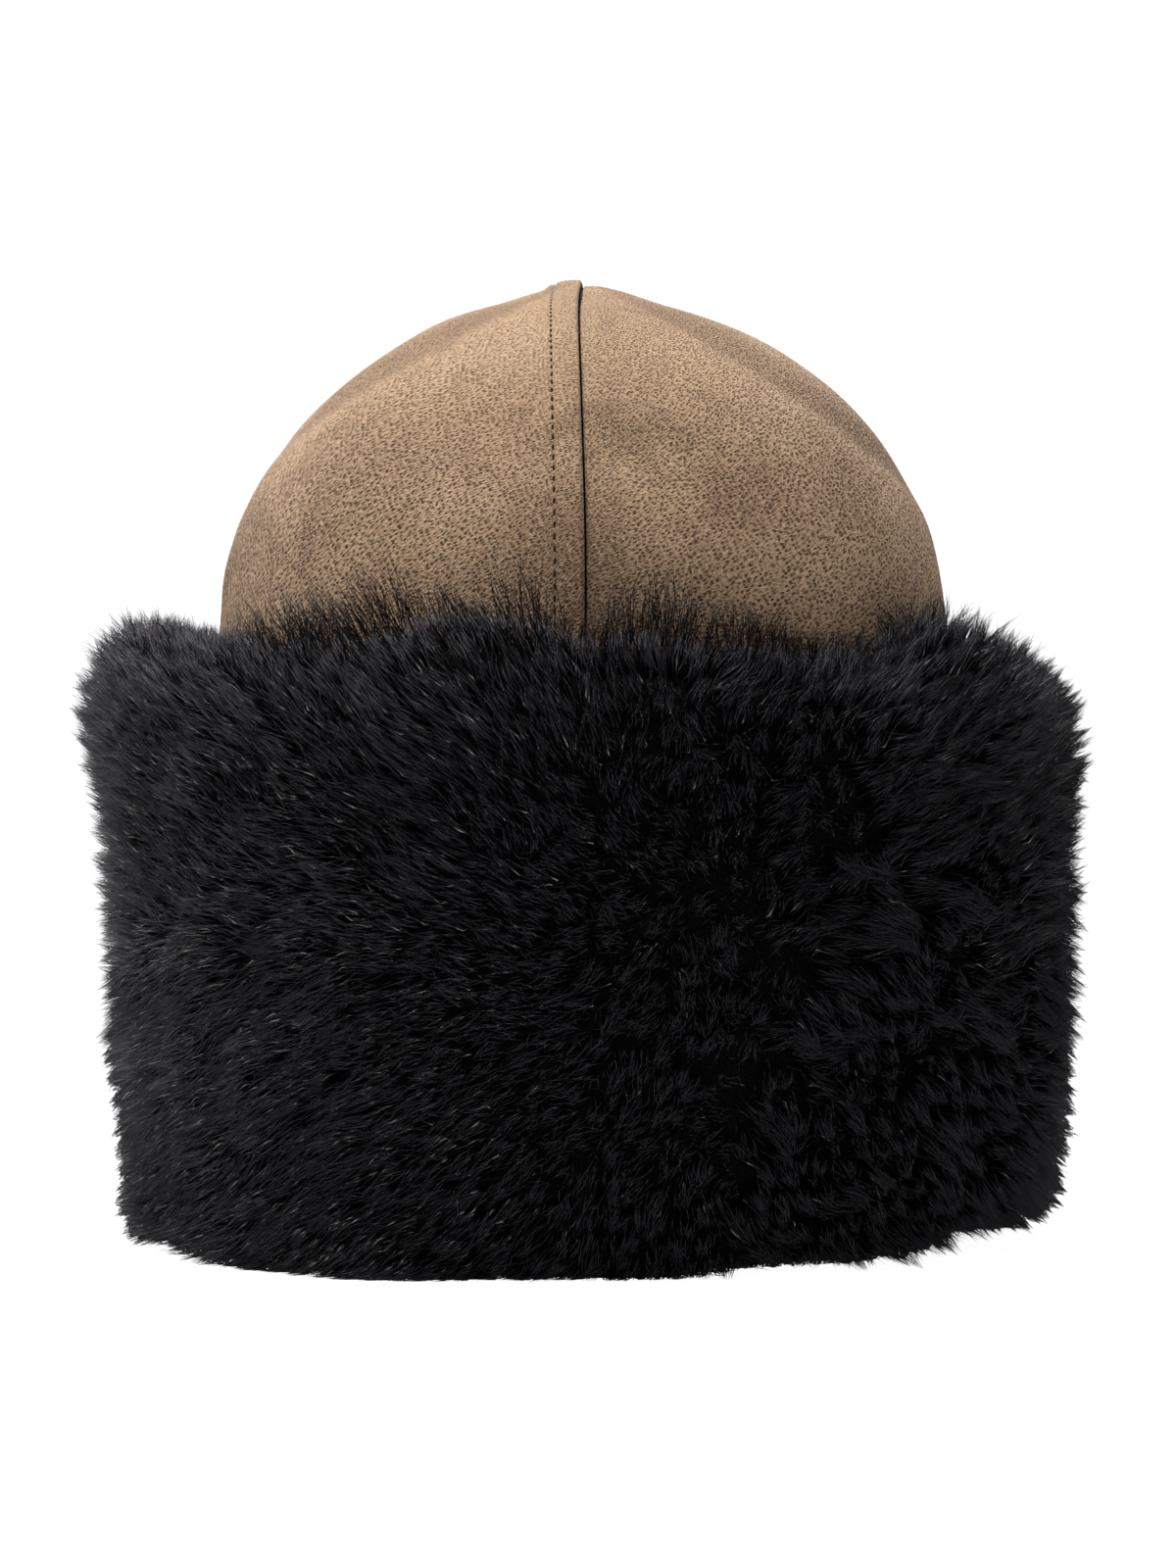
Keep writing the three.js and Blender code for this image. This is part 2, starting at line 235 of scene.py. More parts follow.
def profile_point(place):
    """Half width and height on the dome's profile, for places from 0 at the peak to 1 at the wall."""
    last = len(CROWN_PROFILE) - 1
    spot = np.clip(np.asarray(place, float), 0.0, 1.0) * last
    step = np.minimum(spot.astype(int), last - 1)
    part = (spot - step)[..., None]
    before = CROWN_PROFILE[np.maximum(step - 1, 0)]
    start = CROWN_PROFILE[step]
    end = CROWN_PROFILE[step + 1]
    after = CROWN_PROFILE[np.minimum(step + 2, last)]
    leave = (end - before) / 2
    arrive = (after - start) / 2
    return ((2 * start - 2 * end + leave + arrive) * part ** 3
            + (3 * end - 3 * start - 2 * leave - arrive) * part ** 2 + leave * part + start)


def profile_place(half_width):
    """Where along the profile the dome is this wide."""
    places = np.linspace(0.0, 1.0, 4001)
    return np.interp(half_width, profile_point(places)[:, 0], places)


def oval_normal(sizes, x, y):
    """Level direction that faces out of the crown's oval."""
    width = sizes.wall_half_width / MM
    depth = sizes.wall_half_depth / MM
    power = 2 * OVAL_FULLNESS
    along = power * (np.abs(y) / depth) ** (power - 1) / depth * np.sign(y)
    return np.stack([2 * x / width ** 2, along, np.zeros_like(x)], axis=-1)


def unit(vectors):
    """The same directions at length 1."""
    return vectors / np.maximum(np.linalg.norm(vectors, axis=-1, keepdims=True), 1e-12)


def fade(value, start, end):
    """0 at start and before it, 1 at end and after it, and even between."""
    return np.clip((value - start) / (end - start), 0, 1)


def hump(value, middle, reach):
    """1 at the middle, and softly down to 0 on both sides."""
    return np.exp(-(((value - middle) / reach) ** 2))


def crown_surface(sizes, x, way):
    """Points and outward directions on the crown's suede. way runs from -1 at the front foot, over the dome,
    to 1 at the back foot."""
    width = sizes.wall_half_width / MM
    depth = sizes.wall_half_depth / MM
    x, way = np.broadcast_arrays(np.asarray(x, float), np.asarray(way, float))
    dome_share = DOME_STEPS / (DOME_STEPS + len(WALL_ROWS))
    side = np.where(way < 0, -1.0, 1.0)
    reach = np.abs(way)
    start = profile_place(np.abs(x))
    place = start + (1 - start) * np.clip(reach / dome_share, 0, 1) ** 2
    spot = profile_point(place)
    share = spot[..., 0] / width
    power = 2 * OVAL_FULLNESS
    y = side * depth * np.maximum(0.0, share ** 2 - (x / width) ** 2) ** (1 / power)
    wall_steps = np.arange(len(WALL_ROWS) + 1) / len(WALL_ROWS)
    wall_height = np.interp((reach - dome_share) / (1 - dome_share), wall_steps, (CROWN_PROFILE[-1][1],) + WALL_ROWS)
    on_wall = reach > dome_share
    height = np.where(on_wall, wall_height, spot[..., 1])
    step = 1e-3
    before = profile_point(np.maximum(0, place - step))
    after = profile_point(np.minimum(1, place + step))
    slope = (after[..., 0] - before[..., 0]) / width / np.maximum(1e-6, before[..., 1] - after[..., 1])
    normal = oval_normal(sizes, x, y)
    normal = normal / np.where(on_wall, 1.0, np.maximum(2 * share, 1e-6))[..., None]
    normal[..., 2] = np.where(on_wall, 0.0, slope)
    return np.stack([x, y, height], axis=-1), unit(normal)


def drift(points, cell, seed):
    """Smooth repeatable noise from -1 to 1 over points; cell is the size of its lumps."""
    spot = np.asarray(points, float) / cell + 97.3 + 13.7 * seed
    base = np.floor(spot).astype(np.int64)
    part = spot - base
    ease = part * part * (3 - 2 * part)
    total = np.zeros(spot.shape[:-1])
    for corner in itertools.product((0, 1), repeat=3):
        weight = np.ones(spot.shape[:-1])
        for axis in range(3):
            weight = weight * (ease[..., axis] if corner[axis] else 1 - ease[..., axis])
        total += weight * scatter(base + np.array(corner), seed)
    return total


def lumps(points, layers):
    """Unevenness from a table of layers."""
    return sum(strength * drift(points, cell, seed) for strength, cell, seed in layers)


def scatter(cells, seed):
    """A repeatable value from -1 to 1 for each row of three whole numbers."""
    mask = np.int64(0xFFFFFFFF)
    mixed = (cells[..., 0] * 73856093) ^ (cells[..., 1] * 19349663) ^ (cells[..., 2] * 83492791)
    mixed = (mixed ^ (seed * 40503 + 977)) & mask
    mixed = ((mixed ^ (mixed >> 15)) * 2246822519) & mask
    mixed = ((mixed ^ (mixed >> 13)) * 3266489917) & mask
    return (mixed ^ (mixed >> 16)) / 2147483647.5 - 1


def seam_waver(points):
    """How far the seam strays to one side on its way over the crown."""
    bends = 0.55 * np.sin(points[..., 1] / 21.0 + 0.6) - 0.35 * np.cos(points[..., 2] / 17.0)
    return hump(points[..., 0], 0.0, 14.0) * bends


def rolled_edge(x, height, radius, drop):
    """An edge that rolls down into the seam's ditch, which is wider lower down."""
    reach = radius + 0.4 * fade(height, 218.0, 173.0)
    return -drop * fade(x, reach, 0.0) ** 2


def left_raise(sizes, x, level):
    """Height over the panel's plain face, beside the seam on the left: strip, stitch valley, soft step down."""
    lap = sizes.lap_width / MM
    height = sizes.lap_raise / MM
    step = fade(x, lap, lap + 3.4)
    strip = height * (1 - step * step * (3 - 2 * step))
    puff = 0.25 * np.sin(fade(x, 0.0, lap) * math.pi)
    valley = -0.62 * hump(x, lap, 0.62)
    return strip + puff + valley + rolled_edge(x, level, 0.8, 1.7)


def right_raise(x, level):
    """Height over the panel's plain face, beside the seam on the right."""
    return 0.25 * hump(x, 4.0, 3.0) + rolled_edge(x, level, 0.8, 0.9)


def soft_dents(points):
    """Gentle unevenness of soft leather: a flatter ring round the peak, a slacker left side, and shallow dents that
    end at the seam and under the cuff."""
    x, y, level = np.moveaxis(points, -1, 0)
    radius = np.hypot(x, y * 0.85)
    left = x < 0
    ring = -1.1 * hump(radius, np.where(left, 21.0, 25.0), np.where(left, 11.0, 16.0))
    slack = np.where(left, -1.3, -0.3) * fade(radius, 50.0, 75.0)
    folds = sum(-1.2 * hump(points @ np.array(way), start + 4.5, 3.2) for way, start in FOLDS)
    folds = folds * fade(y, -6.0, -22.0)
    hollow = fade(level, 165.0, 180.0) * fade(level, 215.0, 200.0) * hump(x, -38.0, 6.5) * (y < 0)
    free = fade(level, 138.0, 158.0) * fade(np.abs(x), 5.0, 21.0)
    return ring + free * (slack + folds - 0.9 * hollow + lumps(points, LEATHER_LUMPS))


def panel_columns(sizes):
    """Distances from the seam at which a panel is sampled, close together at the seam."""
    width = sizes.wall_half_width / MM
    beside_seam = (SEAM_HALF_GAP, 0.45, 0.7, 1.0, 1.35, 1.8, 2.4, 3.2, 4.2, 5.2, 5.9, 6.3, 6.6, 6.9, 7.2, 7.5, 7.9,
                   8.6, 9.6, 11.0)
    angles = np.linspace(math.asin(13.5 / width), math.pi / 2, 38)
    return np.concatenate([beside_seam, width * np.sin(angles)])


def crown_rows():
    """The rows of a crown grid, from the front foot to the back foot."""
    half = np.arange(DOME_STEPS + len(WALL_ROWS) + 1) / (DOME_STEPS + len(WALL_ROWS))
    return np.concatenate([-half[::-1], half[1:]])


# ---- shape of the cuff

def beside_wall(sizes, turn, out, height):
    """Points beside the crown's upright wall, and the level direction out of it. turn goes once round from the
    front, out is measured from the suede."""
    angle = np.asarray(turn, float) * 2 * math.pi
    cosine = np.cos(angle)
    depth = np.sign(cosine) * np.abs(cosine) ** (1 / OVAL_FULLNESS)
    x = sizes.wall_half_width / MM * np.sin(angle)
    y = -sizes.wall_half_depth / MM * depth
    way = unit(oval_normal(sizes, x, y))
    points = np.stack([x + way[..., 0] * out, y + way[..., 1] * out, np.broadcast_to(height, x.shape)], axis=-1)
    return points, way


def run_along(points):
    """Distance along a line of points, at each of them."""
    return np.concatenate([[0], np.cumsum(np.linalg.norm(np.diff(points, axis=0), axis=1))])


def at_places(wanted, places, rows):
    """Values between the rows of a table whose rows are at these places."""
    return np.stack([np.interp(wanted, places, column) for column in rows.T], axis=-1)


def along_table(columns, share):
    """Values of a table of rows at shares of its length, and the way that the rows run there."""
    rows = np.array(columns, float)
    run = run_along(rows[:, :2])
    places = run / run[-1]
    reach = 0.02
    ahead = at_places(np.minimum(share + reach, 1), places, rows[:, :2])
    behind = at_places(np.maximum(share - reach, 0), places, rows[:, :2])
    return at_places(share, places, rows), unit(ahead - behind), run[-1]


def wool_form(turn, out, height):
    """The wool's own shape over the plain ring: pressed in at the lower left, lower towards the right, with a tuft
    that stands up beside the seam, and a hem that lifts at the right and spreads at the left of the front."""
    angle = turn * 2 * math.pi
    across = np.sin(angle)
    front = np.clip(np.cos(angle) * 3 + 0.6, 0, 1)
    left = np.clip(-across * 1.6, 0, 1)
    right = np.clip(across * 1.6, 0, 1)
    pressed = fade(height, 128.0, 103.0) * fade(height, 3.0, 23.0) * fade(out, 0.0, 8.0)
    out = out + 1.5 * outer_share(out) - (6.0 * left + 1.4 * right) * pressed
    out = out - 3.0 * right * hump(height, 134.0, 11.0) * outer_share(out)
    top = fade(height, 128.0, 142.0)
    shift = front * np.interp(across, RIM_PLACES, RIM_SHIFTS) - (1 - front) * 3.0 * right
    shift = shift - np.minimum(shift + 1.5, 0) * fade(out, 12.0, 3.0)
    height = height + top * shift
    hem = fade(height, 24.0, 0.0) * fade(out, -4.0, 4.0)
    height = height + hem * front * np.interp(across, HEM_PLACES, HEM_LIFTS)
    out = out + hem * (front * 11.0 * hump(across, -0.38, 0.26) - 0.5 * left)
    return out, height


def outer_share(out):
    """0 beside the suede, 1 on the cuff's outside, for distances out from the suede."""
    return fade(out, 3.2, 11.2)


class Coat:
    """Where the cuff's wool stands and how it lies."""

    def __init__(self, sizes):
        self.sizes = sizes
        self.turns = np.linspace(0, 1, 1441)
        outside = 20.0
        run = run_along(beside_wall(sizes, self.turns, outside, 0.0)[0])
        self.girth = run[-1]
        self.turn_places = run / self.girth
        self.depth = along_table(COAT_ROWS, np.array([0.5]))[2]

    def frame(self, round_share, down_share):
        """Root points, directions and lengths at shares of the way round and of the way down the cuff."""
        turn = np.interp(round_share % 1.0, self.turn_places, self.turns)
        values, run, _ = along_table(COAT_ROWS, down_share)
        out, height, rise, spread, length = values.T
        out, height = wool_form(turn, out, height)
        points, way = beside_wall(self.sizes, turn, out, height)
        up = np.array([0.0, 0.0, 1.0])
        normal = unit(-run[:, 1:2] * way + run[:, 0:1] * up)
        across = np.stack([-way[:, 1], way[:, 0], np.zeros(len(way))], axis=-1)
        points = points + normal * (lumps(points, WOOL_LUMPS) * outer_share(out))[:, None]
        sweep = 0.65 * hump(points[:, 0], -35.0, 52.0) * np.where(points[:, 1] < 0, 1.0, 0.5)
        rise = rise + 0.35 * hump(points[:, 0], -30.0, 45.0) * fade(height, 50.0, 100.0)
        wild = 0.75 + 0.75 * fade(points[:, 0], -10.0, 60.0)
        rise = rise + lumps(points, RISE_SWIRLS) * wild
        swing = lumps(points, SIDE_SWIRLS) * wild - sweep
        lying = rise[:, None] * up + swing[:, None] * across
        least = 0.8
        lying = lying * np.maximum(1.0, least / np.maximum(np.linalg.norm(lying, axis=1), 0.05))[:, None]
        return points, normal, spread[:, None] * way + lying, length


def tuft_centres(coat, round_share, down_share, size, seed):
    """For each strand, the share round and down of the tuft that it gathers in."""
    around = max(8, round(coat.girth / size))
    down = max(4, round(coat.depth / size))
    place = np.stack([round_share * around, down_share * down], axis=-1)
    cell = np.floor(place).astype(np.int64)
    best = np.full(len(place), 1e9)
    chosen = np.zeros((len(place), 2))
    for step in itertools.product((-1, 0, 1), repeat=2):
        spot = cell + np.array(step)
        key = np.stack([spot[:, 0] % around, spot[:, 1], np.zeros(len(spot), np.int64)], axis=-1)
        centre = spot + 0.5 + 0.42 * np.stack([scatter(key, seed), scatter(key, seed + 1)], axis=-1)
        gap = ((centre - place) ** 2).sum(axis=1)
        nearer = gap < best
        best = np.where(nearer, gap, best)
        chosen[nearer] = centre[nearer]
    return chosen[:, 0] / around, np.clip(chosen[:, 1] / down, 0, 1)


# ---- making meshes

def start_piece():
    """Leaves nothing selected, so that only the new piece is worked on."""
    if bpy.context.object and bpy.context.object.mode != "OBJECT":
        bpy.ops.object.mode_set(mode="OBJECT")
    bpy.ops.object.select_all(action="DESELECT")


def finish_piece(piece, name, material, slot, *nodes):
    """Names a piece, gives it its finish, and lets it ride on the hat."""
    piece.name = name
    piece.data.name = name
    piece.data.materials.clear()
    piece.data.materials.append(material)
    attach(piece, "root")
    if nodes:
        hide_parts(*nodes)


def place_vertices(piece, points):
    """Sets a piece's vertices, given in millimetres."""
    piece.data.vertices.foreach_set("co", (np.asarray(points) * MM).ravel())
    piece.data.update()


def read_vertices(piece):
    """A piece's vertices, in millimetres."""
    points = np.zeros(len(piece.data.vertices) * 3)
    piece.data.vertices.foreach_get("co", points)
    return points.reshape(-1, 3) / MM


def grid_piece(points):
    """A sheet through a block of points, from columns that run left to right and rows from front to back."""
    columns, rows = points.shape[:2]
    start_piece()
    bpy.ops.mesh.primitive_grid_add(x_subdivisions=columns - 1, y_subdivisions=rows - 1, size=2.0)
    piece = bpy.context.object
    flat = read_vertices(piece) * MM
    across = np.rint((flat[:, 0] + 1) / 2 * (columns - 1)).astype(int)
    along = np.rint((flat[:, 1] + 1) / 2 * (rows - 1)).astype(int)
    place_vertices(piece, points[across, along])
    bpy.ops.object.mode_set(mode="EDIT")
    bpy.ops.mesh.select_all(action="SELECT")
    bpy.ops.mesh.remove_doubles(threshold=2e-6)
    bpy.ops.object.mode_set(mode="OBJECT")
    return piece


def lay_flat(piece):
    """Stores where each point of a sheet comes when the hide is laid flat, with the front's height running up."""
    bpy.ops.object.mode_set(mode="EDIT")
    bpy.ops.mesh.select_all(action="SELECT")
    bpy.ops.uv.unwrap(method="ANGLE_BASED", margin=0.0)
    bpy.ops.object.mode_set(mode="OBJECT")
    mesh = piece.data
    corners = np.zeros(len(mesh.loops) * 2)
    mesh.uv_layers.active.uv.foreach_get("vector", corners)
    owners = np.zeros(len(mesh.loops), np.int32)
    mesh.loops.foreach_get("vertex_index", owners)
    laid = np.zeros(len(mesh.vertices), complex)
    laid[owners] = corners[::2] + 1j * corners[1::2]
    points = read_vertices(piece)
    front = (points[:, 1] < -70.0) & (points[:, 2] > 60.0)  # the upright part of it
    seen = points[front, 0] + 1j * points[front, 2]
    spread = laid[front] - laid[front].mean()
    turns = (seen - seen.mean()) @ spread.conj() / (abs(spread) ** 2).sum()
    laid = (laid - laid[front].mean()) * turns + seen.mean()
    layer = mesh.attributes.new("laid_flat", "FLOAT_VECTOR", "POINT")
    layer.data.foreach_set("vector", np.stack([laid.real, laid.imag, 0 * laid.real], axis=1).ravel() * MM)
    mesh.uv_layers.remove(mesh.uv_layers.active)


def apply_modifier(piece, kind, **settings):
    """Adds a modifier with these settings and applies it."""
    modifier = piece.modifiers.new(kind.title(), kind)
    for key, value in settings.items():
        setattr(modifier, key, value)
    bpy.context.view_layer.objects.active = piece
    bpy.ops.object.modifier_apply(modifier=modifier.name)


def smooth(piece, degrees=50):
    """Smooth shading with crisp folds."""
    start_piece()
    piece.select_set(True)
    bpy.context.view_layer.objects.active = piece
    bpy.ops.object.shade_smooth_by_angle(angle=math.radians(degrees))


def triangle_piece(points, triangles, shade):
    """A smooth piece from points in millimetres, corner numbers and a shade for each point."""
    mesh = bpy.data.meshes.new("strands")
    mesh.vertices.add(len(points))
    mesh.vertices.foreach_set("co", (points * MM).astype(np.float32).ravel())
    mesh.loops.add(triangles.size)
    mesh.loops.foreach_set("vertex_index", triangles.astype(np.int32).ravel())
    mesh.polygons.add(len(triangles))
    mesh.polygons.foreach_set("loop_start", np.arange(0, triangles.size, 3, dtype=np.int32))
    mesh.polygons.foreach_set("use_smooth", np.ones(len(triangles), bool))
    layer = mesh.attributes.new("shade", "FLOAT", "POINT")
    layer.data.foreach_set("value", shade.astype(np.float32))
    mesh.update(calc_edges=True)
    piece = bpy.data.objects.new("strands", mesh)
    bpy.context.scene.collection.objects.link(piece)
    return piece


def strand_piece(paths, widths, shade, draw):
    """Closed strands, pointed at both ends, along paths of three or more points."""
    count, knots = paths.shape[:2]
    rings = []
    for knot in range(1, knots - 1):
        axis = unit(paths[:, knot + 1] - paths[:, knot - 1])
        side = unit(np.cross(axis, unit(draw.normal(size=(count, 3)))))
        other = np.cross(axis, side)
        corner_reach = 0.577  # from a strand's middle to its three corners, for a side of 1
        taper = corner_reach * widths * (1.0 if knot == 1 else 0.72)
        for corner in range(3):
            angle = corner * 2 * math.pi / 3
            rings.append(paths[:, knot] + (side * math.cos(angle) + other * math.sin(angle)) * taper[:, None])
    points = np.stack([paths[:, 0], *rings, paths[:, -1]], axis=1)
    tip = points.shape[1] - 1
    faces = [(0, 2, 1), (0, 3, 2), (0, 1, 3)]
    for ring in range(knots - 3):
        low = 1 + 3 * ring
        for corner in range(3):
            a, b = low + corner, low + (corner + 1) % 3
            faces += [(a, b, b + 3), (a, b + 3, a + 3)]
    high = tip - 3
    faces += [(high, high + 1, tip), (high + 1, high + 2, tip), (high + 2, high, tip)]
    triangles = np.array(faces)[None] + (np.arange(count) * (tip + 1))[:, None, None]
    # Painted shade: a strand is darkest at its root, deep in the pile.
    shares = np.concatenate([[ROOT_PAINTED_SHADE], np.full(3 * (knots - 2), 1.0), [TIP_SHADE]])
    shades = shade[:, None] * shares[None]
    shades[shade > PLAIN_MOST, -1] *= PAINTED_GLINT_TIP_SHADE
    return triangle_piece(points.reshape(-1, 3), triangles.reshape(-1, 3), shades.ravel())


# ---- finishes

def add_node(tree, kind, inputs=None, **options):
    """Adds a shader node. A value that is a socket is linked, any other is set."""
    made = tree.nodes.new(kind)
    for name, value in options.items():
        setattr(made, name, value)
    for socket, value in (inputs or {}).items():
        if isinstance(value, bpy.types.NodeSocket):
            tree.links.new(value, made.inputs[socket])
        else:
            made.inputs[socket].default_value = value
    return made


def new_finish(name, roughness, **sockets):
    """A material with its own surface shader. Returns the material, its node tree and the shader."""
    material = bpy.data.materials.new(name)
    material.use_nodes = True
    tree = material.node_tree
    surface = tree.nodes["Principled BSDF"]
    surface.inputs["Roughness"].default_value = roughness
    for socket, value in sockets.items():
        surface.inputs[socket.replace("_", " ")].default_value = value
    return material, tree, surface


def maths(tree, operation, *values):
    """One sum on values or sockets."""
    return add_node(tree, "ShaderNodeMath", dict(enumerate(values)), operation=operation).outputs[0]


def product(tree, *values):
    """Values multiplied together."""
    return functools.reduce(lambda first, second: maths(tree, "MULTIPLY", first, second), values)


def vector_maths(tree, operation, first, second):
    """One sum on two vectors. Its vector is output 0, and its value is output 1."""
    return add_node(tree, "ShaderNodeVectorMath", {0: first, 1: second}, operation=operation).outputs


def axes(tree, vector):
    """The three parts of a vector."""
    return add_node(tree, "ShaderNodeSeparateXYZ", {0: vector}).outputs


def object_place(tree):
    """Places in the hat's own frame."""
    return add_node(tree, "ShaderNodeTexCoord").outputs["Object"]


def blend_colour(tree, share, first, second):
    """Two colours blended by a share. Each is a socket, or its red, green and blue."""
    first, second = (value if isinstance(value, bpy.types.NodeSocket) else (*value, 1.0) for value in (first, second))
    return add_node(tree, "ShaderNodeMix", {0: share, 6: first, 7: second}, data_type="RGBA").outputs[2]


def ramp(tree, value, low, high, start=0.0, end=1.0, soft=True):
    """Runs from start, where the value is low, to end, where it is high, and holds beyond both."""
    sockets = {"Value": value, "From Min": low, "From Max": high, "To Min": start, "To Max": end}
    kind = "SMOOTHSTEP" if soft else "LINEAR"
    return add_node(tree, "ShaderNodeMapRange", sockets, interpolation_type=kind).outputs["Result"]


def noise(tree, coordinates, per_metre, detail=2.0, roughness=0.5):
    """Noise from 0 to 1 on the piece."""
    made = add_node(tree, "ShaderNodeTexNoise", {"Vector": coordinates, "Scale": per_metre, "Detail": detail,
                                                 "Roughness": roughness})
    return made.outputs["Fac"]


def finish_surface(tree, surface, colour, height=None, depth=0.0, strength=1.0):
    """Links a finish's colour to its shader, and its relief where it has one."""
    tree.links.new(colour, surface.inputs["Base Color"])
    if height is not None:
        bump = add_node(tree, "ShaderNodeBump", {"Height": height, "Strength": strength, "Distance": depth})
        tree.links.new(bump.outputs["Normal"], surface.inputs["Normal"])


def folded_place(tree, place):
    """Places folded at the seam, so that both panels' grain runs away from it, but isn't the same on both."""
    x, y, z = axes(tree, place)
    shift = maths(tree, "MULTIPLY_ADD", maths(tree, "GREATER_THAN", x, 0.0), 0.31, 0.5)
    return add_node(tree, "ShaderNodeCombineXYZ", {
        0: maths(tree, "ABSOLUTE", x), 1: maths(tree, "ADD", y, shift), 2: z}).outputs[0]


def pit_places(tree, place, laid):
    """Where the suede's pits and grain are looked up: on the hide laid flat where a piece stores that, wandering a
    little, slanted, and stretched along the slant."""
    folded = folded_place(tree, place)
    if laid:
        flat = add_node(tree, "ShaderNodeAttribute", attribute_name="laid_flat").outputs["Vector"]
    else:
        x, _, z = axes(tree, folded)
        flat = add_node(tree, "ShaderNodeCombineXYZ", {0: x, 1: z}).outputs[0]
    wander = add_node(tree, "ShaderNodeTexNoise", {"Vector": folded, "Scale": 220.0, "Detail": 1.0}).outputs["Color"]
    shift = vector_maths(tree, "MULTIPLY", vector_maths(tree, "SUBTRACT", wander, (0.5,) * 3)[0], (0.0014,) * 3)[0]
    warped = vector_maths(tree, "ADD", flat, shift)[0]
    slanted = add_node(tree, "ShaderNodeVectorRotate", {"Vector": warped, "Angle": math.radians(-32)},
                       rotation_type="Z_AXIS").outputs[0]
    return vector_maths(tree, "MULTIPLY", slanted, (0.58, 1.0, 1.0))[0]


def suede_finish(colours, name, laid):
    """Napped suede: small slanting dark pits, fine fuzz, brushed light and dark patches, darker spots, and a painted
    shadow along each fold, all worn paler towards the peak."""
    material, tree, surface = new_finish(name, 0.92, Specular_IOR_Level=0.08, Sheen_Weight=0.10, Sheen_Roughness=0.5)
    place = object_place(tree)
    _, y, level = axes(tree, place)
    pitted = pit_places(tree, place, laid)
    cells = add_node(tree, "ShaderNodeTexVoronoi", {"Vector": pitted, "Scale": 1300.0, "Randomness": 0.75},
                     voronoi_dimensions="2D").outputs
    depth = axes(tree, cells["Color"])[0]
    pits = product(tree, ramp(tree, cells["Distance"], 0.41, 0.16), ramp(tree, depth, -0.4, 0.9))
    grain = noise(tree, pitted, 2700.0, 1.0, 0.6)
    patches = noise(tree, place, 26.0, 3.0, 0.55)
    mottle = noise(tree, place, 120.0, 3.0, 0.6)
    tone = maths(tree, "ADD", product(tree, patches, 0.62), product(tree, mottle, 0.38))
    colour = blend_colour(tree, product(tree, ramp(tree, tone, 0.50, 0.66), 0.60), colours.suede, colours.suede_light)
    colour = blend_colour(tree, product(tree, ramp(tree, tone, 0.50, 0.34), 0.70), colour, colours.suede_dark_and_shade)
    for spot, reach, share in SUEDE_DARK_SPOTS:
        gap = vector_maths(tree, "DISTANCE", place, spot)[1]
        colour = blend_colour(
            tree, product(tree, ramp(tree, gap, reach, reach * 0.2), share), colour, colours.suede_dark_and_shade)
    # Painted shadow: a dark band along each fold, on the front only, blended into the suede's colour.
    in_front = ramp(tree, y, -0.004, -0.030)
    for way, start in FOLDS:
        across = vector_maths(tree, "DOT_PRODUCT", place, way)[1]
        rise = ramp(tree, across, start * MM, (start + 3.0) * MM)
        fall = ramp(tree, across, (start + 13.0) * MM, (start + 5.0) * MM)
        colour = blend_colour(tree, product(tree, rise, fall, in_front, 0.72), colour, colours.suede_dark_and_shade)
    worn = ramp(tree, level, 0.232, 0.185, 0.60, 1.0, soft=False)
    for mark, share, shade in (
            (ramp(tree, grain, 0.52, 0.66), 0.60, colours.suede_light),
            (ramp(tree, grain, 0.50, 0.38), 0.36, colours.pit), (pits, 0.92, colours.pit)):
        colour = blend_colour(tree, product(tree, mark, worn, share), colour, shade)
    height = maths(tree, "SUBTRACT", product(tree, grain, 0.8), pits)
    finish_surface(tree, surface, colour, height, 0.00055)
    return material


def thread_finish(colours):
    """Light twisted thread."""
    material, tree, surface = new_finish("topstitch_thread", 0.55, Specular_IOR_Level=0.3, Sheen_Weight=0.2)
    tone = noise(tree, object_place(tree), 1500.0)
    shade = [part * 0.55 for part in colours.thread]
    colour = blend_colour(tree, ramp(tree, tone, 0.35, 0.65), shade, colours.thread)
    finish_surface(tree, surface, colour, tone, 0.0001, 0.6)
    return material


def needle_shadow_finish(colours):
    """Painted shadow in a needle hole: dark leather colour on a small oval that stands a little out of the suede."""
    material, tree, surface = new_finish("needle_hole", 0.95, Specular_IOR_Level=0.05)
    tone = noise(tree, object_place(tree), 900.0)
    dark, edge = ([part * share for part in colours.pit] for share in (0.25, 0.70))
    finish_surface(tree, surface, blend_colour(tree, tone, dark, edge))
    return material


def strand_finish(colours, name, gloss):
    """Dyed wool strands, each with its own shade, the brightest ones glossy and painted pale: painted glints."""
    dull, glossy = 0.40, 0.22
    material, tree, surface = new_finish(name, dull, Specular_IOR_Level=gloss, Specular_Tint=(0.94, 0.88, 1.0, 1.0))
    shade = add_node(tree, "ShaderNodeAttribute", attribute_name="shade").outputs["Fac"]
    colour = blend_colour(tree, ramp(tree, shade, 0.15, PLAIN_MOST), colours.wool, colours.wool_tip)
    # Painted highlight: glint strands blend to a pale colour.
    colour = blend_colour(tree, ramp(tree, shade, 1.45, 1.85, soft=False), colour, colours.painted_glint)
    rough = ramp(tree, shade, PLAIN_MOST, PAINTED_GLINT_LEAST, dull, glossy, soft=False)
    tree.links.new(rough, surface.inputs["Roughness"])
    finish_surface(tree, surface, colour)
    return material


def underwool_finish(colours):
    """Dense curly wool under the long strands."""
    material, tree, surface = new_finish("underwool", 0.85, Specular_IOR_Level=0.12)
    place = object_place(tree)
    curls = noise(tree, place, 700.0, 4.0, 0.65)
    swells = noise(tree, place, 110.0, 3.0)
    colour = blend_colour(tree, ramp(tree, curls, 0.45, 0.75), colours.wool, colours.wool_tip)
    colour = blend_colour(tree, ramp(tree, swells, 0.60, 0.35), colour, colours.wool)
    finish_surface(tree, surface, colour, maths(tree, "ADD", curls, product(tree, swells, 0.6)), 0.0012)
    return material


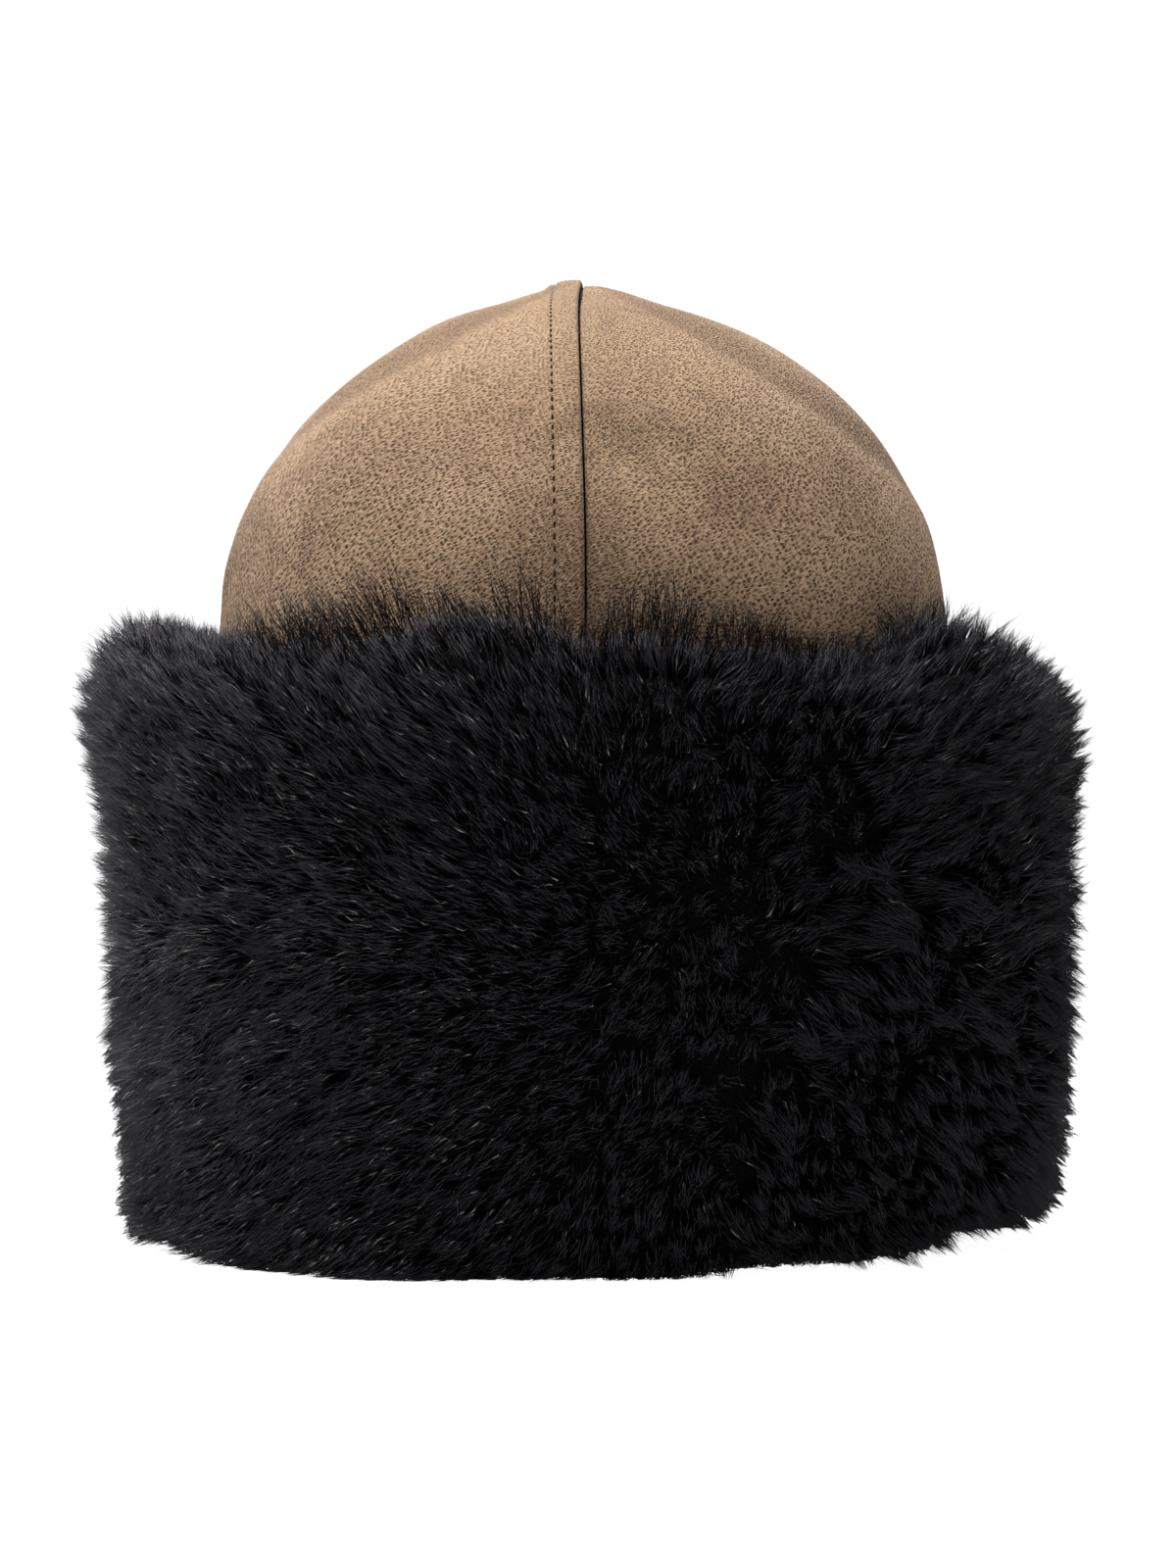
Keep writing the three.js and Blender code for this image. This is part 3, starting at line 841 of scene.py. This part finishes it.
def underwool(colours):
    """The finish of both dense wools, made once."""
    return bpy.data.materials.get("underwool") or underwool_finish(colours)


def strands(colours, name="fine_strands", gloss=FINE_GLOSS):
    """A finish for strands, made once for each name."""
    return bpy.data.materials.get(name) or strand_finish(colours, name, gloss)


# ---- the pieces

class HAT_OT_crown_panels(bpy.types.Operator):
    """Two suede panels that meet at the seam, with the raised strip on the left one"""

    bl_idname = "hat.crown_panels"
    bl_label = "Crown panels"

    def execute(self, context):
        sizes = context.scene.hat_sizes
        suede = suede_finish(context.scene.hat_colours, "napped_suede", True)
        columns = panel_columns(sizes)
        for side, word in ((-1, "left"), (1, "right")):
            x = side * (columns[::-1] if side < 0 else columns)
            points, normals = crown_surface(sizes, x[:, None], crown_rows()[None, :])
            away, level = np.abs(points[..., 0]), points[..., 2]
            lift = left_raise(sizes, away, level) if side < 0 else right_raise(away, level)
            lift = lift + soft_dents(points)
            points = points + normals * lift[..., None]
            points[..., 0] += seam_waver(points)
            piece = grid_piece(points)
            lay_flat(piece)
            apply_modifier(piece, "SOLIDIFY", thickness=sizes.hide, offset=-1.0)
            smooth(piece)
            finish_piece(piece, f"crown_suede_{word}", suede, "suede", f"crown_panel_{word}")
        return {"FINISHED"}


class HAT_OT_seam_stitches(bpy.types.Operator):
    """The row of stitches along the raised strip, and dark ovals between them: painted shadow in the needle holes"""

    bl_idname = "hat.seam_stitches"
    bl_label = "Seam stitches"

    def execute(self, context):
        sizes = context.scene.hat_sizes
        colours = context.scene.hat_colours
        ways = np.linspace(-SEAM_ENDS, SEAM_ENDS, 6000)
        x = -sizes.lap_width / MM
        line, normals = crown_surface(sizes, np.full(len(ways), x), ways)
        line = line + normals * (left_raise(sizes, -x, line[:, 2]) + soft_dents(line))[:, None]
        line[:, 0] += seam_waver(line)
        length = run_along(line)
        pitch = sizes.stitch_pitch / MM
        places = np.arange(pitch, length[-1] - pitch, pitch)
        if len(places) < 10:
            raise RuntimeError("the row of stitches is too short")
        spots = at_places(places, length, line)
        faces_out = unit(at_places(places, length, normals))
        along = unit(at_places(places + 0.5, length, line) - spots)
        across = np.cross(faces_out, along)
        slant = np.radians(14 + 6 * np.sin(places * 2.1))[:, None]
        turned = along * np.cos(slant) + across * np.sin(slant)
        stitch = self.stitch_shape(half_length=0.82, half_width=0.25, half_height=0.24, dive=0.30)
        piece = self.repeated(stitch, spots + faces_out * 0.05, turned, faces_out)
        finish_piece(piece, "seam_stitches", thread_finish(colours), "suede")
        # Painted shadow: a dark oval between each two stitches stands for the shade inside a needle hole.
        hole_shadow = self.stitch_shape(half_length=0.80, half_width=0.42, half_height=0.17, dive=0.0)
        piece = self.repeated(hole_shadow, spots + along * pitch / 2 + faces_out * 0.02, along, faces_out)
        finish_piece(piece, "seam_needle_holes", needle_shadow_finish(colours), "suede")
        return {"FINISHED"}

    def stitch_shape(self, half_length, half_width, half_height, dive):
        """One stitch, shaped from a ball: drawn out along X, with its ends diving into the leather."""
        start_piece()
        bpy.ops.mesh.primitive_uv_sphere_add(segments=8, ring_count=6, radius=1.0)
        piece = bpy.context.object
        points = read_vertices(piece) * MM
        points = points[:, [2, 1, 0]] * np.array([1.0, -1.0, 1.0])
        points[:, 2] -= dive * points[:, 0] ** 2 / max(half_height, 1e-6)
        points *= np.array([half_length, half_width, half_height])
        triangles = []
        for face in piece.data.polygons:
            corners = list(face.vertices)
            triangles += [(corners[0], corners[k], corners[k + 1]) for k in range(1, len(corners) - 1)]
        bpy.data.objects.remove(piece)
        return points, np.array(triangles)

    def repeated(self, shape, spots, along, faces_out):
        """Copies of a shape, one at each spot, joined in one mesh."""
        points, triangles = shape
        across = np.cross(faces_out, along)
        copies = (spots[:, None] + points[None, :, 0:1] * along[:, None] + points[None, :, 1:2] * across[:, None]
                  + points[None, :, 2:3] * faces_out[:, None])
        corner = triangles[None] + (np.arange(len(spots)) * len(points))[:, None, None]
        return triangle_piece(copies.reshape(-1, 3), corner.reshape(-1, 3), np.ones(copies.shape[0] * copies.shape[1]))


class HAT_OT_seam_wool(bpy.types.Operator):
    """Fine dark wool that shows in the seam's ditch, with a small tuft at the peak"""

    bl_idname = "hat.seam_wool"
    bl_label = "Wool in the seam"

    def execute(self, context):
        sizes = context.scene.hat_sizes
        draw = np.random.default_rng(SEAM_WOOL_SEED)
        count = 3600
        peak = 14  # the first few stand at the peak, and are longer
        ways = draw.uniform(-SEAM_ENDS, SEAM_ENDS, count)
        ways[:peak] = draw.normal(0, 0.006, peak)
        x = draw.normal(0.02, 0.15, count)
        roots, normals = crown_surface(sizes, np.clip(x, -0.9, 0.9), ways)
        roots[:, 0] += seam_waver(roots)
        reach = draw.uniform(0.7, 1.25, count)
        reach[:peak] = draw.uniform(1.6, 2.4, peak)
        way = unit(normals + 0.35 * draw.normal(size=(count, 3)))
        roots = roots - normals * 1.7
        paths = np.stack([roots, roots + way * reach[:, None] * 0.5,
                          roots + unit(way + 0.5 * draw.normal(size=(count, 3))) * reach[:, None]], axis=1)
        piece = strand_piece(paths, np.full(count, 0.20), draw.uniform(0.3, 0.9, count), draw)
        finish_piece(piece, "seam_wool", strands(context.scene.hat_colours), "wool")
        return {"FINISHED"}


class HAT_OT_inner_wool(bpy.types.Operator):
    """The sheared wool that lines the crown"""

    bl_idname = "hat.inner_wool"
    bl_label = "Inner wool"

    def execute(self, context):
        sizes = context.scene.hat_sizes
        width = sizes.wall_half_width / MM
        columns = width * np.sin(np.linspace(-math.pi / 2, math.pi / 2, 61))
        points, normals = crown_surface(sizes, columns[:, None], crown_rows()[None, ::2])
        ditch = 2.4 * hump(columns, 0.0, 2.4)
        inward = sizes.hide / MM + LINING_GAP + ditch[:, None] - soft_dents(points)
        points = points - normals * inward[..., None]
        piece = grid_piece(points)
        apply_modifier(piece, "SOLIDIFY", thickness=sizes.lining_pile, offset=-1.0)
        flat = read_vertices(piece)
        inner = np.arange(len(flat)) >= len(flat) // 2
        head_middle = np.array([0.0, 0.0, 120.0])
        toward = unit(head_middle - flat)
        place_vertices(piece, flat + toward * (lumps(flat, LINING_LUMPS) * inner)[:, None])
        smooth(piece, 180)
        finish_piece(piece, "crown_inner_wool", underwool(context.scene.hat_colours), "wool", "crown_lining_wool")
        return {"FINISHED"}


class HAT_OT_cuff_leather(bpy.types.Operator):
    """Suede finish for the hide that carries the cuff's wool"""

    bl_idname = "hat.cuff_leather"
    bl_label = "Cuff leather"

    def execute(self, context):
        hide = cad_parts["cuff_hide"]
        hide.data.materials.clear()
        hide.data.materials.append(suede_finish(context.scene.hat_colours, "cuff_suede", False))
        return {"FINISHED"}


class HAT_OT_underwool(bpy.types.Operator):
    """The dense wool under the cuff's long strands"""

    bl_idname = "hat.underwool"
    bl_label = "Underwool"

    def execute(self, context):
        sizes = context.scene.hat_sizes
        start_piece()
        bpy.ops.mesh.primitive_torus_add(major_segments=240, minor_segments=64, major_radius=1.0, minor_radius=0.25)
        piece = bpy.context.object
        ring = read_vertices(piece) * MM
        turn = (np.arctan2(ring[:, 0], -ring[:, 1]) / (2 * math.pi)) % 1.0
        section = (np.arctan2(ring[:, 2], np.hypot(ring[:, 0], ring[:, 1]) - 1.0) / (2 * math.pi)) % 1.0
        closed = UNDERWOOL_SECTION + UNDERWOOL_SECTION[:1]
        values, run, _ = along_table(closed, section)
        out, height = wool_form(turn, *values.T)
        points, way = beside_wall(sizes, turn, out, height)
        faces_out = unit(run[:, 1:2] * way - run[:, 0:1] * np.array([0.0, 0.0, 1.0]))
        points = points + faces_out * (lumps(points, WOOL_LUMPS) * outer_share(out))[:, None]
        points[:, 2] = np.maximum(points[:, 2], 0.0)
        place_vertices(piece, points)
        smooth(piece, 180)
        finish_piece(piece, "cuff_underwool", underwool(context.scene.hat_colours), "wool", "cuff_wool")
        return {"FINISHED"}


def strand_shades(draw, roots):
    """A shade for each strand: tufts differ, most strands are deep, painted light makes them paler at the left and
    low left and darker at the right, and a few are painted glints, mainly at the left.
    """
    count = len(roots)
    x, _, height = roots.T
    tufts = np.clip(1 + lumps(roots, TUFT_SHADES), 0.2, 2.2)
    low_left = hump(x, -35.0, 26.0) * fade(height, 55.0, 20.0)
    # Painted light: strands paler at the far left and low left and darker at the right, by where the light falls.
    light = 1 - 0.45 * fade(x, 0.0, 60.0) + 0.8 * low_left + 0.6 * fade(x, -50.0, -95.0)
    shade = np.clip(draw.lognormal(-0.8, 0.75, count) * tufts * light, 0.05, PLAIN_MOST)
    # Painted highlight: more glint strands at the left and low left.
    share = 0.026 + 0.100 * fade(x, -10.0, -70.0) + 0.06 * low_left
    return np.where(draw.random(count) < share, draw.uniform(PAINTED_GLINT_LEAST, PAINTED_GLINT_MOST, count), shade)


def coat_paths(coat, draw, round_share, down_share, length_scale, tuft_size, tuft_pull):
    """Paths of strands that grow at these places and gather in tufts: root, knee and tip."""
    roots, normals, lean, length = coat.frame(round_share, down_share)
    count, x = len(roots), roots[:, 0]
    length = length * length_scale * draw.uniform(0.70, 0.97, count)
    rough = (0.36 + 0.06 * fade(x, 0.0, 60.0))[:, None]
    first = unit(normals + LOW_LEAN * lean + rough * draw.normal(size=(count, 3)))
    second = unit(HIGH_STAND * normals + lean + 1.5 * rough * draw.normal(size=(count, 3)))
    start = roots - normals * ROOT_DEPTH
    knee = start + first * (length * KNEE_SHARE)[:, None]
    tip = knee + second * (length * TIP_SHARE)[:, None]
    tuft_round, tuft_down = tuft_centres(coat, round_share, down_share, tuft_size, TUFT_SEED)
    centre, centre_normal, centre_lean, centre_length = coat.frame(tuft_round, tuft_down)
    heart = centre + unit(centre_normal + LOW_LEAN * centre_lean) * (centre_length * KNEE_SHARE)[:, None]
    peak = unit(HIGH_STAND * centre_normal + centre_lean) * (centre_length * TIP_SHARE * length_scale)[:, None]
    pull = tuft_pull * (0.75 + 0.6 * fade(x, -20.0, 80.0) + 0.5 * fade(x, -92.0, -107.0))
    pull = (pull * draw.uniform(0.4, 1.2, count))[:, None]
    tip = tip + (heart + peak - tip) * pull
    knee = knee + (heart - knee) * 0.5 * pull
    return above_floor(np.stack([start, knee, tip], axis=1))


def above_floor(paths, least=0.35):
    """The same paths, with no point under the floor or closer to it than least."""
    paths[..., 2] = np.maximum(paths[..., 2], least)
    return paths


class HAT_OT_wool_coat(bpy.types.Operator):
    """The cuff's long wool, as strands in tufts, in one piece for each part of the way round"""

    bl_idname = "hat.wool_coat"
    bl_label = "Wool coat"

    def execute(self, context):
        settings = context.scene.wool_settings
        coat = Coat(context.scene.hat_sizes)
        wool = strands(context.scene.hat_colours, "wool_strands", COAT_GLOSS)
        width = settings.strand_width / MM
        count = settings.coat_strands
        for number, word in enumerate(("front_right", "back_right", "back_left", "front_left")):
            draw = np.random.default_rng(COAT_SEED + number)
            round_share = draw.uniform(number / 4, (number + 1) / 4, count)
            down_share = draw.uniform(0.0, 1.0, count)
            paths = coat_paths(coat, draw, round_share, down_share, 1.0, settings.tuft_size / MM, settings.tuft_pull)
            shade = strand_shades(draw, paths[:, 0])
            widths = width * draw.uniform(0.6, 1.15, count)
            piece = strand_piece(paths, widths, shade, draw)
            finish_piece(piece, f"wool_coat_{word}", wool, "wool")
        return {"FINISHED"}


class HAT_OT_rim_wisps(bpy.types.Operator):
    """Fine strands that stand up from the cuff's top edge, over the suede"""

    bl_idname = "hat.rim_wisps"
    bl_label = "Rim wisps"

    def execute(self, context):
        settings = context.scene.wool_settings
        coat = Coat(context.scene.hat_sizes)
        draw = np.random.default_rng(RIM_SEED)
        count = settings.rim_strands
        round_share = draw.uniform(0, 1, count)
        down_share = draw.uniform(0.0, 0.10, count)
        place = coat.frame(round_share, down_share)[0]
        x, y, _ = place.T
        gusts = 1.9 + lumps(place, WISP_GUSTS) + 0.7 * (hump(x, -29.0, 10.0) + hump(x, 15.0, 6.0)) * (y < 0)
        gusts = np.clip(gusts * (1 - 0.55 * fade(np.abs(x), 70.0, 85.0)), 0.7, 3.3)
        paths = coat_paths(coat, draw, round_share, down_share, gusts, tuft_size=3.6, tuft_pull=0.92)
        root, knee, tip = paths.swapaxes(0, 1)
        sway = draw.normal(0.0, 0.8, (count, 3)) * np.array([1.0, 0.6, 0.3])
        curl = lumps(place, WISP_CURLS)[:, None] * np.array([1.0, 0.6, 0.0])
        lower = root + 0.75 * (knee - root) + sway - 1.3 * curl
        upper = knee + 0.45 * (tip - knee) - 0.5 * sway - 0.2 * curl
        paths = above_floor(np.stack([root, lower, upper, tip + 3.2 * curl], axis=1))
        piece = strand_piece(paths, draw.uniform(0.15, 0.25, count), 0.4 * strand_shades(draw, root), draw)
        finish_piece(piece, "rim_wisps", strands(context.scene.hat_colours), "wool")
        return {"FINISHED"}


class HAT_OT_stage(bpy.types.Operator):
    """Pale floor, soft studio light and the camera"""

    bl_idname = "hat.stage"
    bl_label = "Stage"

    def execute(self, context):
        settings = context.scene.stage_settings
        start_piece()
        bpy.ops.mesh.primitive_circle_add(vertices=96, radius=FLOOR_RADIUS, fill_type="NGON")
        floor = context.object
        floor.name = "floor"
        material, tree, surface = new_finish("pale_floor", 0.9, Specular_IOR_Level=0.0, Emission_Color=WHITE)
        tone = noise(tree, object_place(tree), 3.0)
        finish_surface(tree, surface, blend_colour(tree, tone, (0.86,) * 3, (0.88,) * 3))
        self.glow(tree, surface.inputs["Emission Strength"], 0.12, 0.98)
        floor.data.materials.append(material)
        for name, (place, size) in LIGHTS.items():
            self.light(f"{name}_light", place, size, getattr(settings, f"{name}_power"))
        world = bpy.data.worlds.new("studio")
        context.scene.world = world
        world.use_nodes = True
        backdrop = world.node_tree.nodes["Background"]
        backdrop.inputs["Color"].default_value = WHITE
        self.glow(world.node_tree, backdrop.inputs["Strength"], settings.room_light, 1.05)
        context.scene.view_settings.view_transform = "Standard"
        camera = bpy.data.objects.new("camera", bpy.data.cameras.new("camera"))
        camera.data.lens = CAMERA_LENS
        camera.data.sensor_width = 36.0
        camera.location = CAMERA_PLACE
        camera.rotation_euler = (math.radians(90), 0, 0)
        context.scene.collection.objects.link(camera)
        context.scene.camera = camera
        return {"FINISHED"}

    def glow(self, tree, socket, on_the_hat, in_view):
        """Sets how strongly a backdrop shines on the hat, and how bright it looks to the camera."""
        seen = add_node(tree, "ShaderNodeLightPath").outputs["Is Camera Ray"]
        tree.links.new(ramp(tree, seen, 0.0, 1.0, on_the_hat, in_view, soft=False), socket)

    def light(self, name, place, size, power):
        """A square soft light that faces the hat."""
        lamp = bpy.data.lights.new(name, "AREA")
        lamp.size = size
        lamp.energy = power
        lit = bpy.data.objects.new(name, lamp)
        lit.location = place
        lit.rotation_euler = (Vector(LIGHTS_FACE) - Vector(place)).to_track_quat("-Z", "Y").to_euler()
        bpy.context.scene.collection.objects.link(lit)


STEPS = (
    HAT_OT_stage, HAT_OT_crown_panels, HAT_OT_seam_stitches, HAT_OT_seam_wool, HAT_OT_inner_wool,
    HAT_OT_cuff_leather, HAT_OT_underwool, HAT_OT_wool_coat, HAT_OT_rim_wisps,
)


class HAT_PT_sidebar(bpy.types.Panel):
    """Lists the hat's pieces and sizes"""

    bl_idname = "HAT_PT_sidebar"
    bl_label = "Shearling hat"
    bl_space_type = "VIEW_3D"
    bl_region_type = "UI"
    bl_category = "Hat"

    def draw(self, context):
        column = self.layout.column()
        for group in ("hat_sizes", "wool_settings", "hat_colours", "stage_settings"):
            settings = getattr(context.scene, group)
            for name in settings.bl_rna.properties.keys():
                if name not in ("rna_type", "name"):
                    column.prop(settings, name)
        for step in STEPS:
            column.operator(step.bl_idname)


GROUPS = {
    "hat_sizes": HatSizes,
    "wool_settings": WoolSettings,
    "hat_colours": HatColours,
    "stage_settings": StageSettings,
}


def register():
    """Adds the settings, the operators and the panel."""
    for name, group in GROUPS.items():
        bpy.utils.register_class(group)
        setattr(bpy.types.Scene, name, PointerProperty(type=group))
    for part in (*STEPS, HAT_PT_sidebar):
        bpy.utils.register_class(part)


def unregister():
    """Takes them away again."""
    for part in reversed((*STEPS, HAT_PT_sidebar)):
        bpy.utils.unregister_class(part)
    for name, group in reversed(GROUPS.items()):
        delattr(bpy.types.Scene, name)
        bpy.utils.unregister_class(group)


def main():
    """Registers the tools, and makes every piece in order."""
    register()
    bpy.ops.hat.stage()
    bpy.ops.hat.crown_panels()
    bpy.ops.hat.seam_stitches()
    bpy.ops.hat.seam_wool()
    bpy.ops.hat.inner_wool()
    bpy.ops.hat.cuff_leather()
    bpy.ops.hat.underwool()
    bpy.ops.hat.wool_coat()
    bpy.ops.hat.rim_wisps()


if __name__ == "__main__":
    main()
